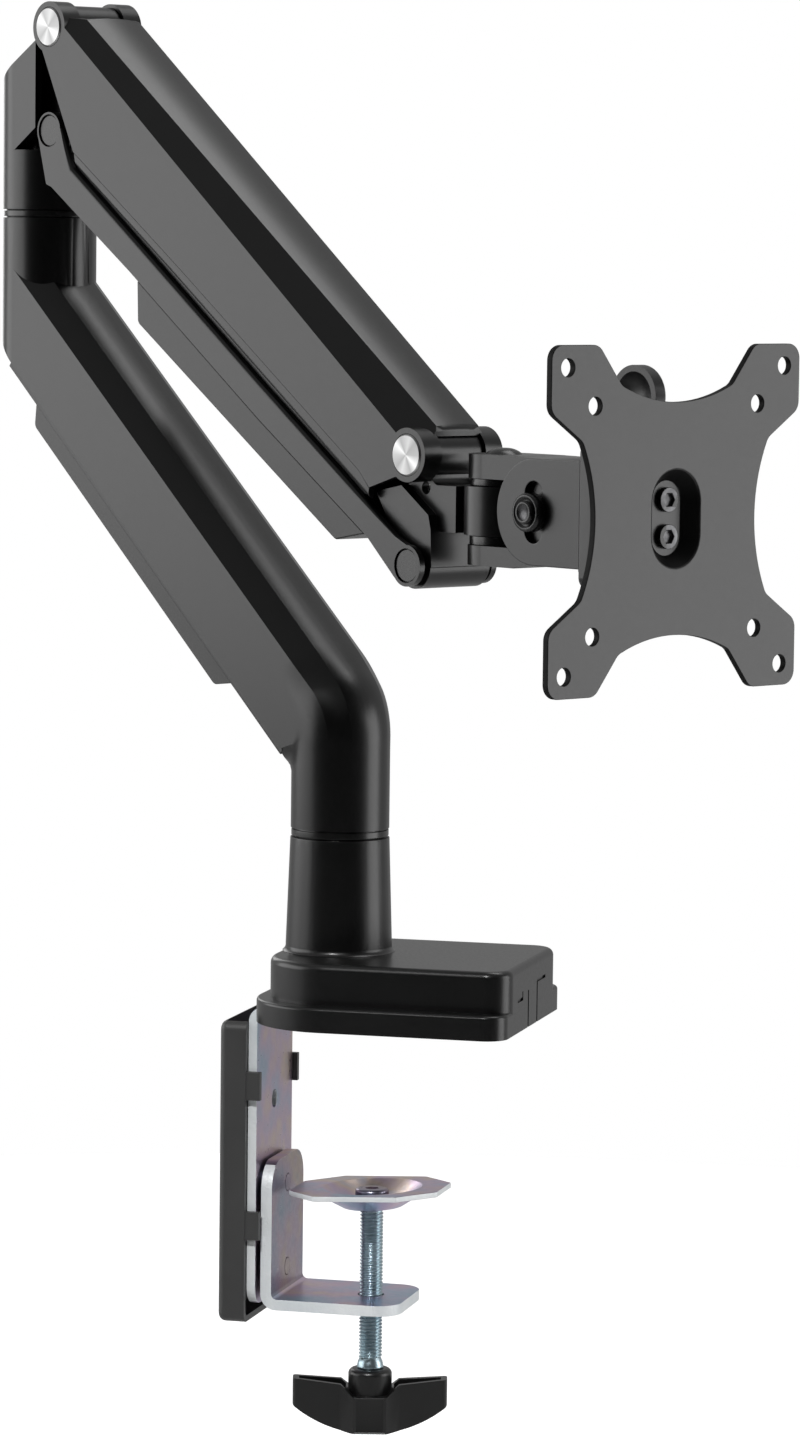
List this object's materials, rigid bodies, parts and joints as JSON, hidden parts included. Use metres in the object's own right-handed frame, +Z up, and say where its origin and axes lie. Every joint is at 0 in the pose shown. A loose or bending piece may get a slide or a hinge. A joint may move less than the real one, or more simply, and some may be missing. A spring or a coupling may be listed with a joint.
{
  "type": "monitor arm",
  "caption": "Desk-clamp monitor arm: tapered post, bent lower arm, gas-spring parallelogram upper arm, tilting and rotating mounting plate.",
  "frame": {"origin": "desk surface under the base, on the axis of the post", "axes": "+Z up along the post, +X along the folded arm towards the monitor plate, which faces +X; the base and clamp are turned 33 degrees about Z"},
  "size_m": [0.3522, 0.1309, 0.5097],
  "materials": {
    "cast_coat": "satin black powder coat on die-cast aluminium",
    "black_coat": "satin black powder coat",
    "black_plastic": "satin black moulded plastic",
    "zinc_steel": "zinc plated with faint blue and violet tints",
    "cap_aluminium": "turned and brushed",
    "black_steel": "blackened steel",
    "bright_steel": "ground steel",
    "nylon": "dark moulded nylon",
    "foam": "matt closed-cell pad"
  },
  "bodies": {
    "clamp_base": {"base_housing": "cast_coat", "base_foam_pad": "foam", "post_tube": "cast_coat", "post_spindle": "bright_steel", "lower_swivel_ring": "nylon", "clamp_bracket_upper": "zinc_steel", "clamp_bracket_lower": "zinc_steel", "bracket_screw_upper": "zinc_steel", "bracket_screw_lower": "zinc_steel", "base_screw_left": "zinc_steel", "base_screw_right": "zinc_steel", "clamp_rear_cover": "black_plastic"},
    "clamp_pad": {"clamp_pad": "zinc_steel"},
    "clamp_spindle": {"clamp_screw": "zinc_steel", "clamp_knob": "black_plastic", "pad_retaining_screw": "zinc_steel"},
    "lower_arm": {"lower_arm": "cast_coat", "lower_arm_cover": "black_plastic", "lower_bush": "nylon", "elbow_spindle": "bright_steel", "elbow_swivel_ring": "nylon"},
    "elbow_yoke": {"elbow_yoke": "cast_coat", "elbow_bush": "nylon", "rear_upper_pin": "bright_steel", "rear_lower_pin": "black_steel", "spring_anchor_pin": "bright_steel"},
    "upper_arm": {"upper_arm_casting": "cast_coat", "upper_arm_frame": "black_coat", "rear_cap_near": "cap_aluminium", "rear_cap_far": "cap_aluminium", "front_cap_near": "cap_aluminium", "front_cap_far": "cap_aluminium", "gas_spring_cylinder": "black_steel", "spring_mount_block": "cast_coat"},
    "spring_rod": {"gas_spring_rod": "bright_steel"},
    "tension_screw": {"tension_screw": "bright_steel"},
    "lower_link": {"lower_link": "black_coat", "link_cable_cover": "black_plastic"},
    "head": {"head_knuckle": "cast_coat", "front_upper_pin": "bright_steel", "front_lower_pin": "black_steel", "knuckle_set_screw": "bright_steel"},
    "pan_fork": {"pan_fork": "cast_coat", "pan_bolt": "black_steel", "pan_nut": "black_steel", "pan_washer_upper": "nylon", "pan_washer_lower": "nylon"},
    "tilt_bracket": {"tilt_bracket": "black_coat", "tilt_bolt": "black_steel", "tilt_bush": "black_steel"},
    "tilt_lever": {"tilt_lever": "black_plastic"},
    "monitor_plate": {"rotation_hub": "cast_coat", "vesa_plate": "black_coat", "plate_screw_upper": "black_steel", "plate_screw_lower": "black_steel", "rotation_bolt": "black_steel", "rotation_nut": "black_steel"}
  },
  "joints": [
    {"name": "base_swivel", "type": "hinge", "parent": "clamp_base", "child": "lower_arm", "pos_m": [0, 0, 0.0676], "axis": [0, 0, 1], "range_deg": [-180, 180]},
    {"name": "elbow_swivel", "type": "hinge", "parent": "lower_arm", "child": "elbow_yoke", "pos_m": [-0.16865, 0, 0.285], "axis": [0, 0, 1], "range_deg": [-180, 180]},
    {"name": "lift", "type": "hinge", "parent": "elbow_yoke", "child": "upper_arm", "pos_m": [-0.1467, 0, 0.3518], "axis": [0, -1, 0], "range_deg": [-1.5, 65]},
    {"name": "link_pivot", "type": "hinge", "parent": "elbow_yoke", "child": "lower_link", "pos_m": [-0.1467, 0, 0.3138], "axis": [0, -1, 0], "range_deg": [-1.7, 65.2]},
    {"name": "head_level", "type": "hinge", "parent": "upper_arm", "child": "head", "pos_m": [0.0533, 0, 0.2018], "axis": [0, -1, 0], "range_deg": [-65.2, 1.7]},
    {"name": "spring_stroke", "type": "slide", "parent": "upper_arm", "child": "spring_rod", "axis": [-0.8, 0, 0.6], "range_m": [-0.0008, 0.0206]},
    {"name": "tension_adjust", "type": "hinge", "parent": "upper_arm", "child": "tension_screw", "pos_m": [0.01116, 0, 0.21228], "axis": [0.8, 0, -0.6], "continuous": true},
    {"name": "pan", "type": "hinge", "parent": "head", "child": "pan_fork", "pos_m": [0.08266, 0, 0.184], "axis": [0, 0, 1], "range_deg": [-90, 90]},
    {"name": "tilt", "type": "hinge", "parent": "pan_fork", "child": "tilt_bracket", "pos_m": [0.1129, 0, 0.1848], "axis": [0, -1, 0], "range_deg": [-45, 45]},
    {"name": "plate_rotation", "type": "hinge", "parent": "tilt_bracket", "child": "monitor_plate", "pos_m": [0.1386, 0, 0.1848], "axis": [1, 0, 0], "range_deg": [-90, 90]},
    {"name": "lever_turn", "type": "hinge", "parent": "tilt_bracket", "child": "tilt_lever", "pos_m": [0.1129, 0.02, 0.1848], "axis": [0, 1, 0], "range_deg": [-60, 25]},
    {"name": "clamp_travel", "type": "slide", "parent": "clamp_base", "child": "clamp_pad", "axis": [0, 0, 1], "range_m": [-0.026, 0.0175]},
    {"name": "clamp_turn", "type": "hinge", "parent": "clamp_pad", "child": "clamp_spindle", "pos_m": [0.01111, 0.00731, -0.1], "axis": [0, 0, 1], "range_deg": [-7500, 5050]}
  ],
  "couplings": [
    {"joint": "link_pivot", "follows": "lift", "ratio": 1},
    {"joint": "head_level", "follows": "lift", "ratio": -1},
    {"joint": "spring_stroke", "follows": "lift", "m_per_rad": 0.01763},
    {"joint": "clamp_turn", "follows": "clamp_travel", "rad_per_m": 5026.5}
  ]
}
